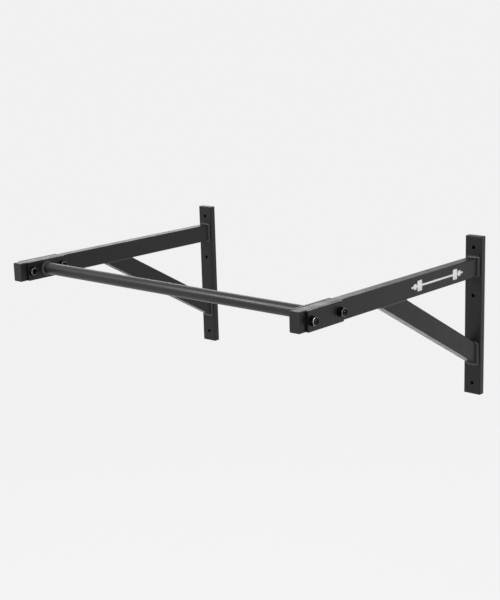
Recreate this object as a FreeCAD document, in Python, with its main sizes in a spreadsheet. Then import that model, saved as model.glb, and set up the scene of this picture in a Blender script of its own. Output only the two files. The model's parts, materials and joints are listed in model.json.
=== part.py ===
import FreeCAD, Part
import math
import os

import Sketcher
from FreeCAD import Placement, Rotation, Vector

# A wall-mounted pull up bar: two brackets of square-section tube, welded up from a wall tube, an
# arm and a brace each, with a grip bar bolted between the arms' ends.
#
# Frame: millimetres. The origin is on the wall, midway between the four outer wall holes.
# +X runs along the grip bar, +Y points into the wall and +Z is up.

SIZES = (
    # alias, value, what it measures
    ("arm_spacing", 970, "between the middles of the two arms"),
    ("arm_reach", 760, "from the wall to the arm's tip"),
    ("arm_width", 30, "arm and brace, across"),
    ("arm_height", 50, "arm and brace, deep"),
    ("arm_drop", 56, "from the wall tube's top down to the arm's top"),
    ("wall_tube_width", 50, "wall tube, across"),
    ("wall_tube_depth", 20, "wall tube, out from the wall"),
    ("wall_tube_length", 430, "wall tube, with its two caps"),
    ("tube_wall", 2, "wall thickness of every rectangular tube"),
    ("corner_radius", 3, "outer corners of every rectangular tube"),
    ("wall_hole_diameter", 10, "holes for the wall screws"),
    ("wall_hole_end", 30, "from a wall tube's end to its outer hole"),
    ("wall_hole_drop", 160, "from the wall tube's top to its middle hole"),
    ("brace_reach", 430, "brace's lower corner, out from the wall tube"),
    ("brace_drop", 240, "brace's lower corner, down from the arm"),
    ("bar_diameter", 32, "grip bar"),
    ("bar_wall", 3, "wall thickness of the grip bar"),
    ("bar_setback", 87, "from the arm's tip back to the bar's middle"),
    ("plate_length", 130, "bar plate and backing plate"),
    ("plate_thickness", 6, "bar plate and backing plate"),
    ("plate_corner", 1.5, "round corners of the plates"),
    ("bolt_pitch", 104, "between the two bolts of an arm"),
    ("bolt_hole_diameter", 13, "clearance holes for the bolts"),
    ("bolt_diameter", 12, "bolt's thread"),
    ("bolt_length", 60, "bolt under its head"),
    ("bolt_head_height", 7.5, "bolt's head"),
    ("bolt_point", 1.2, "bevel at the bolt's end"),
    ("hex_flats", 19, "across the flats of a bolt's head and of a nut"),
    ("hex_bevel", 1, "height of the bevel on a hexagon's corners"),
    ("hex_face_share", 0.95, "round face of a hexagon, as a share of its flats"),
    ("nut_height", 12, "lock nut with its collar"),
    ("nut_hex_height", 10, "hexagon of the lock nut"),
    ("nut_collar_diameter", 17.6, "collar that holds the locking ring"),
    ("nut_collar_bevel", 0.8, "bevel on the collar"),
    ("ring_diameter", 15, "locking ring in the nut's collar"),
    ("ring_height", 2.2, "locking ring"),
    ("ring_cover", 0.8, "lip of the collar over the locking ring"),
    ("thread_gap", 0.1, "between the bolt and the nut's bore"),
    ("washer_diameter", 24, "washer, outside"),
    ("washer_thickness", 2.5, "washer"),
    ("cap_flange", 3, "the part of an end cap that shows"),
    ("cap_plug", 14, "the part of an end cap inside the tube"),
    ("cap_plug_wall", 2, "wall thickness of the plug"),
    ("cap_gap", 0.2, "between the plug and the tube, each side"),
    ("weld_leg", 5, "leg of every fillet weld"),
    ("seam_height", 1.5, "weld between two flush faces, how far it stands up"),
)

# Places that several sub-parts share, as expressions on the sheet.
ARM_X = "Sizes.arm_spacing / 2"
ARM_UNDERSIDE_Z = "(Sizes.wall_tube_length / 2 - Sizes.arm_drop - Sizes.arm_height)"
ARM_MIDDLE_Z = f"({ARM_UNDERSIDE_Z} + Sizes.arm_height / 2)"
WALL_TUBE_FRONT_Y = "-Sizes.wall_tube_depth"
BAR_Y = "(Sizes.bar_setback - Sizes.arm_reach)"
TUBE_HALF_LENGTH = "(Sizes.wall_tube_length / 2 - Sizes.cap_flange)"
INNER_PLATE_X = "(Sizes.arm_spacing / 2 - Sizes.arm_width / 2 - Sizes.plate_thickness)"
OUTER_PLATE_X = "(Sizes.arm_spacing / 2 + Sizes.arm_width / 2)"
HEAD_SEAT_X = f"({INNER_PLATE_X} - Sizes.washer_thickness)"
NUT_SEAT_X = f"({OUTER_PLATE_X} + Sizes.plate_thickness + Sizes.washer_thickness)"
INNER_CORNER = "(Sizes.corner_radius - Sizes.tube_wall)"
HEX_FACE_RADIUS = "Sizes.hex_flats / 2 * Sizes.hex_face_share"

# The brace's slope, and where its faces cut the arm's underside and the wall tube's front.
BRACE_SLOPE = "atan(Sizes.brace_drop / Sizes.brace_reach)"
BRACE_CUT_ON_ARM = f"(Sizes.arm_height / sin({BRACE_SLOPE}))"
BRACE_CUT_ON_WALL = f"(Sizes.arm_height / cos({BRACE_SLOPE}))"

SIDES = (("left", -1), ("right", 1))

ORIGIN_POINT = (-1, 1)
X_AXIS_LINE = -1
Y_AXIS_LINE = -2
START, END, CENTRE = 1, 2, 3
SMALLEST_RUN = 1  # mm: an edge that moves less than this along an axis is square to it


def make_sheet(doc):
    """The sheet of driving dimensions: alias, value and meaning in columns A, B and C."""
    sheet = doc.addObject("Spreadsheet::Sheet", "Sizes")
    for row, (alias, value, meaning) in enumerate(SIZES, start=1):
        sheet.set(f"A{row}", alias)
        sheet.set(f"B{row}", str(value))
        sheet.set(f"C{row}", meaning)
        sheet.setAlias(f"B{row}", alias)
    doc.recompute()


def new_body(doc, label, x="0", y="0", z="0", turn=Rotation()):
    """An empty body whose own origin stands at x, y, z (expressions), turned by turn."""
    body = doc.addObject("PartDesign::Body", label)
    body.Label = label
    body.Placement = Placement(Vector(), turn)
    for axis, place in (("x", x), ("y", y), ("z", z)):
        body.setExpression(f"Placement.Base.{axis}", place)
    return body


def origin_feature(body, role):
    """The body's own plane or axis of that role, such as XY_Plane."""
    return next(item for item in body.Origin.OriginFeatures if item.Role == role)


def new_sketch(body, role, x="0", y="0", z="0"):
    """A sketch on one of the body's planes, shifted by x, y and z in the plane's own axes."""
    sketch = body.newObject("Sketcher::SketchObject", "Sketch")
    sketch.AttachmentSupport = (origin_feature(body, role), [""])
    sketch.MapMode = "FlatFace"
    for axis, place in (("x", x), ("y", y), ("z", z)):
        if place != "0":
            sketch.setExpression(f"AttachmentOffset.Base.{axis}", place)
    return sketch


def value_of(sketch, expression):
    """The number that an expression on the sheet stands for."""
    result = sketch.evalExpression(expression)
    return float(getattr(result, "Value", result))


def drive(sketch, kind, elements, expression):
    """Add a dimension to the sketch and bind it to the sheet."""
    index = sketch.addConstraint(Sketcher.Constraint(kind, *elements, value_of(sketch, expression)))
    name = f"size{index}"
    sketch.renameConstraint(index, name)
    sketch.setExpression(f"Constraints.{name}", expression)


def pin_point(sketch, geometry, point, x, y):
    """Hold a point of the sketch at x, y from its origin; "0" puts it on the axis."""
    if x == "0":
        sketch.addConstraint(Sketcher.Constraint("PointOnObject", geometry, point, Y_AXIS_LINE))
    else:
        drive(sketch, "DistanceX", (*ORIGIN_POINT, geometry, point), x)
    if y == "0":
        sketch.addConstraint(Sketcher.Constraint("PointOnObject", geometry, point, X_AXIS_LINE))
    else:
        drive(sketch, "DistanceY", (*ORIGIN_POINT, geometry, point), y)


def add_outline(sketch, corners):
    """A closed outline of straight lines through corners, given as pairs of expressions."""
    points = [Vector(value_of(sketch, x), value_of(sketch, y), 0) for x, y in corners]
    lines = [
        sketch.addGeometry(Part.LineSegment(point, points[(i + 1) % len(points)]))
        for i, point in enumerate(points)
    ]
    for i, line in enumerate(lines):
        following = lines[(i + 1) % len(lines)]
        sketch.addConstraint(Sketcher.Constraint("Coincident", line, END, following, START))
    for line, (x, y) in zip(lines, corners):
        pin_point(sketch, line, START, x, y)


def add_circle(sketch, diameter, x="0", y="0"):
    """A circle with its middle at x, y."""
    middle = Vector(value_of(sketch, x), value_of(sketch, y), 0)
    circle = sketch.addGeometry(Part.Circle(middle, Vector(0, 0, 1), value_of(sketch, diameter) / 2))
    drive(sketch, "Diameter", (circle,), diameter)
    pin_point(sketch, circle, CENTRE, x, y)


def add_rounded_rectangle(sketch, width, height, radius):
    """A rectangle with round corners, its middle on the sketch's origin."""
    wide, high, corner = (value_of(sketch, size) for size in (width, height, radius))
    quarter = math.pi / 2
    arcs = []
    for i, (right, up) in enumerate(((1, 1), (-1, 1), (-1, -1), (1, -1))):
        middle = Vector(right * (wide / 2 - corner), up * (high / 2 - corner), 0)
        circle = Part.Circle(middle, Vector(0, 0, 1), corner)
        arcs.append(sketch.addGeometry(Part.ArcOfCircle(circle, i * quarter, (i + 1) * quarter)))
    ends = [
        (sketch.getPoint(arcs[i], END), sketch.getPoint(arcs[(i + 1) % 4], START)) for i in range(4)
    ]
    sides = [sketch.addGeometry(Part.LineSegment(*pair)) for pair in ends]
    for i, side in enumerate(sides):
        sketch.addConstraint(Sketcher.Constraint("Tangent", arcs[i], END, side, START))
        sketch.addConstraint(Sketcher.Constraint("Tangent", side, END, arcs[(i + 1) % 4], START))
        sketch.addConstraint(Sketcher.Constraint("Vertical" if i % 2 else "Horizontal", side))
    for arc in arcs[1:]:
        sketch.addConstraint(Sketcher.Constraint("Equal", arcs[0], arc))
    sketch.addConstraint(
        Sketcher.Constraint("Symmetric", arcs[0], CENTRE, arcs[2], CENTRE, *ORIGIN_POINT)
    )
    top, left, bottom, right = sides
    drive(sketch, "Radius", (arcs[0],), radius)
    drive(sketch, "DistanceX", (left, START, right, START), width)
    drive(sketch, "DistanceY", (bottom, START, top, START), height)


def pad(body, sketch, length, both_ways=False, towards_back=False):
    """Pad a sketch by length, or by half of it to each side."""
    feature = body.newObject("PartDesign::Pad", "Pad")
    feature.Profile = sketch
    feature.SideType = "Symmetric" if both_ways else "One side"
    feature.Reversed = towards_back
    feature.setExpression("Length", length)
    return feature


def cut(body, sketch, width=None):
    """Cut a sketch out of the body, right through or over a width about the sketch's plane."""
    feature = body.newObject("PartDesign::Pocket", "Pocket")
    feature.Profile = sketch
    feature.SideType = "Symmetric"
    if width is None:
        feature.Type = "ThroughAll"
    else:
        feature.setExpression("Length", width)
    return feature


def revolve(body, sketch):
    """Turn a sketch all the way round its own horizontal axis."""
    feature = body.newObject("PartDesign::Revolution", "Revolution")
    feature.Profile = sketch
    feature.ReferenceAxis = (sketch, ["H_Axis"])
    feature.Angle = 360
    return feature


def repeat_at_every_bolt(body):
    """Copy the body's shape from one bolt place to all four: along the arm, then across."""
    single = body.Tip
    along = body.newObject("PartDesign::LinearPattern", "AlongTheArm")
    along.Direction = (origin_feature(body, "Y_Axis"), [""])
    along.Reversed = True
    along.Occurrences = 2
    along.setExpression("Length", "Sizes.bolt_pitch")
    across = body.newObject("PartDesign::PolarPattern", "ToTheOtherArm")
    across.Axis = (origin_feature(body, "Z_Axis"), [""])
    across.Angle = 360
    across.Occurrences = 2
    everywhere = body.newObject("PartDesign::MultiTransform", "AtEveryBolt")
    everywhere.TransformMode = "Whole shape"
    everywhere.BaseFeature = single
    everywhere.Transformations = [along, across]
    body.Tip = everywhere


def add_tube_section(sketch, width, height):
    """The section of a rectangular tube: an outer and an inner rounded rectangle."""
    add_rounded_rectangle(sketch, width, height, "Sizes.corner_radius")
    inner_width = f"{width} - 2 * Sizes.tube_wall"
    inner_height = f"{height} - 2 * Sizes.tube_wall"
    add_rounded_rectangle(sketch, inner_width, inner_height, INNER_CORNER)


def make_wall_tube(doc, side, sign):
    """Upright tube that lies flat on the wall, with three holes right through for wall screws."""
    middle_y = "-Sizes.wall_tube_depth / 2"
    body = new_body(doc, f"{side}_wall_tube", f"{sign} * {ARM_X}", middle_y)
    section = new_sketch(body, "XY_Plane")
    add_tube_section(section, "Sizes.wall_tube_width", "Sizes.wall_tube_depth")
    pad(body, section, f"2 * {TUBE_HALF_LENGTH}", both_ways=True)
    holes = new_sketch(body, "XZ_Plane")
    end_hole_z = "(Sizes.wall_tube_length / 2 - Sizes.wall_hole_end)"
    middle_hole_z = "(Sizes.wall_tube_length / 2 - Sizes.wall_hole_drop)"
    for height in (end_hole_z, middle_hole_z, f"-{end_hole_z}"):
        add_circle(holes, "Sizes.wall_hole_diameter", y=height)
    cut(body, holes)
    return body


def make_arm_tube(doc, side, sign):
    """Level arm, butted on the wall tube's front face, with two holes across for the bolts."""
    name = f"{side}_arm_tube"
    body = new_body(doc, name, f"{sign} * {ARM_X}", WALL_TUBE_FRONT_Y, ARM_MIDDLE_Z)
    section = new_sketch(body, "XZ_Plane")
    add_tube_section(section, "Sizes.arm_width", "Sizes.arm_height")
    pad(body, section, "Sizes.arm_reach - Sizes.wall_tube_depth - Sizes.cap_flange")
    holes = new_sketch(body, "YZ_Plane")
    for half in ("-0.5", "0.5"):
        hole_y = f"{BAR_Y} + Sizes.wall_tube_depth + {half} * Sizes.bolt_pitch"
        add_circle(holes, "Sizes.bolt_hole_diameter", x=hole_y)
    cut(body, holes)
    return body


def add_brace_outline(sketch, inset):
    """The brace seen from the side, its faces moved inwards by inset.

    The sketch's origin is the corner between the wall tube's front and the arm's underside.
    """
    reach = f"(Sizes.brace_reach - {inset} / sin({BRACE_SLOPE}))"
    drop = f"(Sizes.brace_drop - {inset} / cos({BRACE_SLOPE}))"
    depth = f"(Sizes.arm_height - 2 * {inset})"
    upper_reach = f"({reach} - {depth} / sin({BRACE_SLOPE}))"
    upper_drop = f"({drop} - {depth} / cos({BRACE_SLOPE}))"
    add_outline(
        sketch,
        (("0", f"-{drop}"), ("0", f"-{upper_drop}"), (f"-{upper_reach}", "0"), (f"-{reach}", "0")),
    )


def make_brace_tube(doc, side, sign):
    """Sloping tube under the arm, cut flush with the arm's underside and the wall tube's front."""
    name = f"{side}_brace_tube"
    body = new_body(doc, name, f"{sign} * {ARM_X}", WALL_TUBE_FRONT_Y, ARM_UNDERSIDE_Z)
    outside = new_sketch(body, "YZ_Plane")
    add_brace_outline(outside, "0")
    outer = pad(body, outside, "Sizes.arm_width", both_ways=True)
    doc.recompute()
    round_sloping_edges(body, outer, "Sizes.corner_radius")
    hollow = new_sketch(body, "YZ_Plane")
    add_brace_outline(hollow, "Sizes.tube_wall")
    cut(body, hollow, "Sizes.arm_width - 2 * Sizes.tube_wall")
    return body


def round_sloping_edges(body, feature, radius):
    """Round the edges that run along the brace: those that go both outwards and up."""
    names = []
    for i, edge in enumerate(feature.Shape.Edges, start=1):
        run = edge.Vertexes[-1].Point - edge.Vertexes[0].Point
        if min(abs(run.y), abs(run.z)) > SMALLEST_RUN:
            names.append(f"Edge{i}")
    fillet = body.newObject("PartDesign::Fillet", "RoundCorners")
    fillet.Base = (feature, names)
    fillet.setExpression("Radius", radius)


def add_wedge(body, sizes):
    """A block that narrows from its face at Ymax to its face at Ymin."""
    wedge = body.newObject("PartDesign::AdditiveWedge", "Wedge")
    for name, expression in sizes.items():
        wedge.setExpression(name, expression)


def make_arm_wall_weld(doc, side, sign):
    """Fillet weld all round the arm, where it butts on the wall tube."""
    name = f"{side}_arm_wall_weld"
    body = new_body(doc, name, f"{sign} * {ARM_X}", WALL_TUBE_FRONT_Y, ARM_MIDDLE_Z)
    half_width = "Sizes.arm_width / 2"
    half_height = "Sizes.arm_height / 2"
    add_wedge(body, {
        "Ymin": "-Sizes.weld_leg",
        "Ymax": "0",
        "Xmin": f"-{half_width}",
        "Xmax": half_width,
        "Zmin": f"-{half_height}",
        "Zmax": half_height,
        "X2min": f"-{half_width} - Sizes.weld_leg",
        "X2max": f"{half_width} + Sizes.weld_leg",
        "Z2min": f"-{half_height} - Sizes.weld_leg",
        "Z2max": f"{half_height} + Sizes.weld_leg",
    })
    section = new_sketch(body, "XZ_Plane")
    add_rounded_rectangle(section, "Sizes.arm_width", "Sizes.arm_height", "Sizes.corner_radius")
    cut(body, section)
    return body


def make_brace_wall_weld(doc, side, sign):
    """Fillet weld all round the brace's lower end, on the wall tube's front face."""
    name = f"{side}_brace_wall_weld"
    body = new_body(doc, name, f"{sign} * {ARM_X}", WALL_TUBE_FRONT_Y, ARM_UNDERSIDE_Z)
    half_width = "Sizes.arm_width / 2"
    low = "-Sizes.brace_drop"
    high = f"-Sizes.brace_drop + {BRACE_CUT_ON_WALL}"
    rise = f"Sizes.weld_leg * tan({BRACE_SLOPE})"
    add_wedge(body, {
        "Ymin": "-Sizes.weld_leg",
        "Ymax": "0",
        "Xmin": f"-{half_width}",
        "Xmax": half_width,
        "Zmin": f"{low} + {rise}",
        "Zmax": f"{high} + {rise}",
        "X2min": f"-{half_width} - Sizes.weld_leg",
        "X2max": f"{half_width} + Sizes.weld_leg",
        "Z2min": f"{low} - Sizes.weld_leg",
        "Z2max": f"{high} + Sizes.weld_leg",
    })
    outline = new_sketch(body, "YZ_Plane")
    add_brace_outline(outline, "0")
    cut(body, outline, "Sizes.arm_width")
    return body


def make_brace_arm_weld(doc, side, sign):
    """Weld round the brace's upper end: a fillet across each end, a raised seam along each side."""
    name = f"{side}_brace_arm_weld"
    body = new_body(doc, name, f"{sign} * {ARM_X}", WALL_TUBE_FRONT_Y, ARM_UNDERSIDE_Z)
    front = "(-Sizes.brace_reach)"
    back = f"(-Sizes.brace_reach + {BRACE_CUT_ON_ARM})"
    along = f"Sizes.weld_leg * cos({BRACE_SLOPE})"
    down = f"-Sizes.weld_leg * sin({BRACE_SLOPE})"
    fillets = new_sketch(body, "YZ_Plane")
    add_outline(
        fillets, ((front, "0"), (f"{front} - Sizes.weld_leg", "0"), (f"{front} + {along}", down))
    )
    add_outline(
        fillets, ((back, "0"), (f"{back} + 2 * Sizes.weld_leg", "0"), (f"{back} + {along}", down))
    )
    pad(body, fillets, "Sizes.arm_width", both_ways=True)
    for x in ("Sizes.arm_width / 2", "-Sizes.arm_width / 2 - Sizes.seam_height"):
        seam = body.newObject("PartDesign::AdditiveBox", "Seam")
        seam.setExpression("Length", "Sizes.seam_height")
        seam.setExpression("Width", f"{BRACE_CUT_ON_ARM} + Sizes.weld_leg")
        seam.setExpression("Height", "Sizes.weld_leg")
        seam.setExpression("Placement.Base.x", x)
        seam.setExpression("Placement.Base.y", f"{front} - Sizes.weld_leg / 2")
        seam.setExpression("Placement.Base.z", "-Sizes.weld_leg / 2")
    return body


def make_end_cap(doc, label, width, height, place, turn=Rotation()):
    """Push-in cap: a flange the size of the tube, and a hollow plug inside it.

    The cap's own +Z points out of the tube, and its origin is at the tube's end.
    """
    body = new_body(doc, label, *place, turn)
    flange = new_sketch(body, "XY_Plane")
    add_rounded_rectangle(flange, width, height, "Sizes.corner_radius")
    pad(body, flange, "Sizes.cap_flange")
    plug = new_sketch(body, "XY_Plane")
    outer_inset = "2 * (Sizes.tube_wall + Sizes.cap_gap)"
    inner_inset = "2 * (Sizes.tube_wall + Sizes.cap_gap + Sizes.cap_plug_wall)"
    for inset in (outer_inset, inner_inset):
        add_rounded_rectangle(plug, f"{width} - {inset}", f"{height} - {inset}", INNER_CORNER)
    pad(body, plug, "Sizes.cap_plug", towards_back=True)
    return body


def make_end_caps(doc, side, sign):
    """Caps for one bracket: the arm's tip, and the wall tube's top and bottom."""
    x = f"{sign} * {ARM_X}"
    middle_y = "-Sizes.wall_tube_depth / 2"
    arm_end = (x, "Sizes.cap_flange - Sizes.arm_reach", ARM_MIDDLE_Z)
    section = ("Sizes.wall_tube_width", "Sizes.wall_tube_depth")
    out_of_arm = Rotation(Vector(1, 0, 0), 90)
    downwards = Rotation(Vector(1, 0, 0), 180)
    return [
        make_end_cap(
            doc, f"{side}_arm_end_cap", "Sizes.arm_width", "Sizes.arm_height", arm_end, out_of_arm
        ),
        make_end_cap(
            doc, f"{side}_wall_tube_top_cap", *section, (x, middle_y, TUBE_HALF_LENGTH)
        ),
        make_end_cap(
            doc,
            f"{side}_wall_tube_bottom_cap",
            *section,
            (x, middle_y, f"-{TUBE_HALF_LENGTH}"),
            downwards,
        ),
    ]


def make_plate(doc, label, middle_x):
    """Flat steel plate on the arm's side, with a hole near each end for a bolt."""
    body = new_body(doc, label, middle_x, BAR_Y, ARM_MIDDLE_Z)
    face = new_sketch(body, "YZ_Plane")
    add_rounded_rectangle(face, "Sizes.plate_length", "Sizes.arm_height", "Sizes.plate_corner")
    for half in ("-0.5", "0.5"):
        add_circle(face, "Sizes.bolt_hole_diameter", x=f"{half} * Sizes.bolt_pitch")
    pad(body, face, "Sizes.plate_thickness", both_ways=True)
    return body


def make_grip_bar(doc):
    """Round tube that the hands hold, from one bar plate to the other."""
    body = new_body(doc, "grip_bar", "0", BAR_Y, ARM_MIDDLE_Z)
    section = new_sketch(body, "YZ_Plane")
    add_circle(section, "Sizes.bar_diameter")
    add_circle(section, "Sizes.bar_diameter - 2 * Sizes.bar_wall")
    pad(body, section, f"2 * {INNER_PLATE_X}", both_ways=True)
    return body


def make_bar_weld(doc, side, sign):
    """Fillet weld round the grip bar, on its plate."""
    turn = Rotation(Vector(0, 0, 1), 180 if sign > 0 else 0)
    name = f"{side}_bar_weld"
    body = new_body(doc, name, f"{sign} * {INNER_PLATE_X}", BAR_Y, ARM_MIDDLE_Z, turn)
    section = new_sketch(body, "XY_Plane")
    radius = "Sizes.bar_diameter / 2"
    add_outline(
        section, (("0", radius), ("Sizes.weld_leg", radius), ("0", f"{radius} + Sizes.weld_leg"))
    )
    revolve(body, section)
    return body


def new_fastener_body(doc, label):
    """A body for one of the four like fasteners; its origin is the grip bar's middle."""
    return new_body(doc, label, "0", BAR_Y, ARM_MIDDLE_Z)


def fastener_sketch(body, seat_x):
    """A sketch whose horizontal axis is one bolt's axis, with its origin at x = seat_x."""
    return new_sketch(body, "XY_Plane", seat_x, "Sizes.bolt_pitch / 2")


def cut_to_hexagon(body):
    """Trim a turned blank on a bolt's axis to a hexagon."""
    sketch = new_sketch(body, "YZ_Plane", "Sizes.bolt_pitch / 2")
    corner = "Sizes.hex_flats / sqrt(3)"
    flat = "Sizes.hex_flats / 2"
    add_circle(sketch, "2 * Sizes.hex_flats")
    add_outline(sketch, (
        ("0", corner),
        (f"-{flat}", f"{corner} / 2"),
        (f"-{flat}", f"-{corner} / 2"),
        ("0", f"-{corner}"),
        (flat, f"-{corner} / 2"),
        (flat, f"{corner} / 2"),
    ))
    cut(body, sketch)


def make_bolts(doc):
    """Four hexagon-head bolts, heads on the inner sides of the arms."""
    body = new_fastener_body(doc, "clamp_bolts")
    profile = fastener_sketch(body, HEAD_SEAT_X)
    corner = "Sizes.hex_flats / sqrt(3)"
    shank = "Sizes.bolt_diameter / 2"
    add_outline(profile, (
        ("-Sizes.bolt_head_height", "0"),
        ("-Sizes.bolt_head_height", HEX_FACE_RADIUS),
        ("-Sizes.bolt_head_height + Sizes.hex_bevel", corner),
        ("0", corner),
        ("0", shank),
        ("Sizes.bolt_length - Sizes.bolt_point", shank),
        ("Sizes.bolt_length", f"{shank} - Sizes.bolt_point"),
        ("Sizes.bolt_length", "0"),
    ))
    revolve(body, profile)
    cut_to_hexagon(body)
    repeat_at_every_bolt(body)
    return body


def make_washers(doc):
    """Eight flat washers, one under each bolt's head and one under each nut."""
    body = new_fastener_body(doc, "bolt_washers")
    section = fastener_sketch(body, HEAD_SEAT_X)
    bore = "Sizes.bolt_hole_diameter / 2"
    rim = "Sizes.washer_diameter / 2"
    nut_washer = f"({NUT_SEAT_X} - {HEAD_SEAT_X} - Sizes.washer_thickness)"
    for start, end in (
        ("0", "Sizes.washer_thickness"),
        (nut_washer, f"{nut_washer} + Sizes.washer_thickness"),
    ):
        add_outline(section, ((start, bore), (end, bore), (end, rim), (start, rim)))
    revolve(body, section)
    repeat_at_every_bolt(body)
    return body


def make_nuts(doc):
    """Four lock nuts: a hexagon with a round collar that is rolled in over the locking ring."""
    body = new_fastener_body(doc, "lock_nuts")
    profile = fastener_sketch(body, NUT_SEAT_X)
    bore = "Sizes.bolt_diameter / 2 + Sizes.thread_gap"
    corner = "Sizes.hex_flats / sqrt(3)"
    collar = "Sizes.nut_collar_diameter / 2"
    ring = "Sizes.ring_diameter / 2"
    ring_top = "(Sizes.nut_height - Sizes.ring_cover)"
    ring_base = f"({ring_top} - Sizes.ring_height)"
    lip = f"{ring} - Sizes.ring_cover"
    add_outline(profile, (
        ("0", bore),
        ("0", HEX_FACE_RADIUS),
        ("Sizes.hex_bevel", corner),
        ("Sizes.nut_hex_height - Sizes.hex_bevel", corner),
        ("Sizes.nut_hex_height", HEX_FACE_RADIUS),
        ("Sizes.nut_hex_height", collar),
        ("Sizes.nut_height - Sizes.nut_collar_bevel", collar),
        ("Sizes.nut_height", f"{collar} - Sizes.nut_collar_bevel"),
        ("Sizes.nut_height", lip),
        (ring_top, lip),
        (ring_top, ring),
        (ring_base, ring),
        (ring_base, bore),
    ))
    revolve(body, profile)
    cut_to_hexagon(body)
    repeat_at_every_bolt(body)
    return body


def make_locking_rings(doc):
    """Four nylon rings, one held in each nut's collar."""
    body = new_fastener_body(doc, "nut_locking_rings")
    section = fastener_sketch(body, NUT_SEAT_X)
    ring_top = "(Sizes.nut_height - Sizes.ring_cover)"
    ring_base = f"({ring_top} - Sizes.ring_height)"
    bore = "Sizes.bolt_diameter / 2 + Sizes.thread_gap"
    rim = "Sizes.ring_diameter / 2"
    add_outline(section, ((ring_base, bore), (ring_top, bore), (ring_top, rim), (ring_base, rim)))
    revolve(body, section)
    repeat_at_every_bolt(body)
    return body


def make_bracket(doc, side, sign):
    """Every sub-part of one welded bracket, with its caps."""
    return [
        make_wall_tube(doc, side, sign),
        make_arm_tube(doc, side, sign),
        make_brace_tube(doc, side, sign),
        make_arm_wall_weld(doc, side, sign),
        make_brace_wall_weld(doc, side, sign),
        make_brace_arm_weld(doc, side, sign),
        *make_end_caps(doc, side, sign),
    ]


def make_bar_end(doc, side, sign):
    """The plates at one end of the grip bar, and the weld that holds the bar."""
    half = "Sizes.plate_thickness / 2"
    return [
        make_plate(doc, f"{side}_bar_plate", f"{sign} * ({INNER_PLATE_X} + {half})"),
        make_plate(doc, f"{side}_backing_plate", f"{sign} * ({OUTER_PLATE_X} + {half})"),
        make_bar_weld(doc, side, sign),
    ]


def check(doc, sub_parts):
    """Stop if any object failed, or if a sub-part has no sound shape."""
    for item in doc.Objects:
        if "Invalid" in item.State or "Error" in item.State:
            raise RuntimeError(f"{item.Label} ({item.Name}) failed: {item.State}")
    for sub_part in sub_parts:
        shape = sub_part.Shape
        if shape.isNull() or not shape.isValid() or not shape.Solids:
            raise RuntimeError(f"{sub_part.Label} has no sound shape")


def main():
    doc = FreeCAD.newDocument("PullUpBar")
    make_sheet(doc)
    sub_parts = []
    for side, sign in SIDES:
        sub_parts += make_bracket(doc, side, sign)
        sub_parts += make_bar_end(doc, side, sign)
    sub_parts += [
        make_grip_bar(doc),
        make_bolts(doc),
        make_washers(doc),
        make_nuts(doc),
        make_locking_rings(doc),
    ]
    doc.recompute()
    check(doc, sub_parts)
    os.makedirs("parts", exist_ok=True)
    for sub_part in sub_parts:
        sub_part.Shape.exportStep(f"parts/{sub_part.Label}.step")
        box = sub_part.Shape.BoundBox
        print(
            f"{sub_part.Label}: {len(sub_part.Shape.Solids)} solid(s), {sub_part.Shape.Volume:.0f} mm3,"
            f" x {box.XMin:.1f}..{box.XMax:.1f} y {box.YMin:.1f}..{box.YMax:.1f}"
            f" z {box.ZMin:.1f}..{box.ZMax:.1f}"
        )


main()
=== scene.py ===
"""Finished model of a wall-mounted pull up bar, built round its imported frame."""

import json
import math
import random

import bmesh
import bpy
from bpy.props import FloatProperty, FloatVectorProperty, IntProperty, PointerProperty
from mathutils import Matrix, Vector


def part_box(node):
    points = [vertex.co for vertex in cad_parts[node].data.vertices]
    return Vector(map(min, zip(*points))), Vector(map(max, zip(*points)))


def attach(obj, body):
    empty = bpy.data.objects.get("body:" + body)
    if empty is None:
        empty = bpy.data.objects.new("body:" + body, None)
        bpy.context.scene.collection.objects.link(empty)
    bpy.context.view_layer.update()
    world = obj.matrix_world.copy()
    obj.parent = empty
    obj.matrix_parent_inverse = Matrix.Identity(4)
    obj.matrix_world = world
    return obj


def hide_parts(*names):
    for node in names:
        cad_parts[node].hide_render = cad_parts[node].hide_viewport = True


bl_info = {
    "name": "Wall pull up bar",
    "version": (1, 0, 0),
    "blender": (4, 5, 0),
    "location": "View3D > Sidebar > Pull up bar",
    "description": "Builds a wall-mounted pull up bar, its coats and its studio",
    "category": "Add Mesh",
}

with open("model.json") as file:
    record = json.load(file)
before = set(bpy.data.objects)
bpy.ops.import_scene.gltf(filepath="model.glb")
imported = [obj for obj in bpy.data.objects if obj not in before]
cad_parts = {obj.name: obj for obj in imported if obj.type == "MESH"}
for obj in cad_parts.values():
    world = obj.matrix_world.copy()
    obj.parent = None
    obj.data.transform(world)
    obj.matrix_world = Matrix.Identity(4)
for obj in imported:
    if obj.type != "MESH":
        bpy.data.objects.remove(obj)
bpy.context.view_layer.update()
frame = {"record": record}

SIDES = {"left": -1, "right": 1}  # each side, and its way outwards along X
X_AXIS, Y_AXIS, Z_AXIS = Vector((1, 0, 0)), Vector((0, 1, 0)), Vector((0, 0, 1))
FULL_TURN = 2 * math.pi
MM_PER_M = 1000
SAME_PLACE = 1e-6  # points nearer than this, in metres, are one point


def size_of(node):
    """Width, depth and height of a part of the frame."""
    low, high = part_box(node)
    return high - low


def middle_of(node):
    """The middle of a part of the frame."""
    low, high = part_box(node)
    return (low + high) / 2


def mount(name):
    """A mount of the frame, from its record."""
    return next(item for item in frame["record"]["mounts"] if item["name"] == name)


def hexagon_of(node):
    """A fastener's hexagon: from its middle to a corner, and across its flats."""
    low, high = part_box(node)
    corner = (high.z - low.z) / 2
    return corner, 2 * corner * math.cos(math.radians(30))


# Settings that a user would change. Everything else is worked out from the frame.


def length(name, default, description):
    """A length property in metres."""
    return FloatProperty(
        name=name, description=description, default=default, min=0, unit="LENGTH", precision=5
    )


def angle(name, degrees, description):
    """An angle property."""
    return FloatProperty(
        name=name, description=description, default=math.radians(degrees), subtype="ANGLE"
    )


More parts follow.
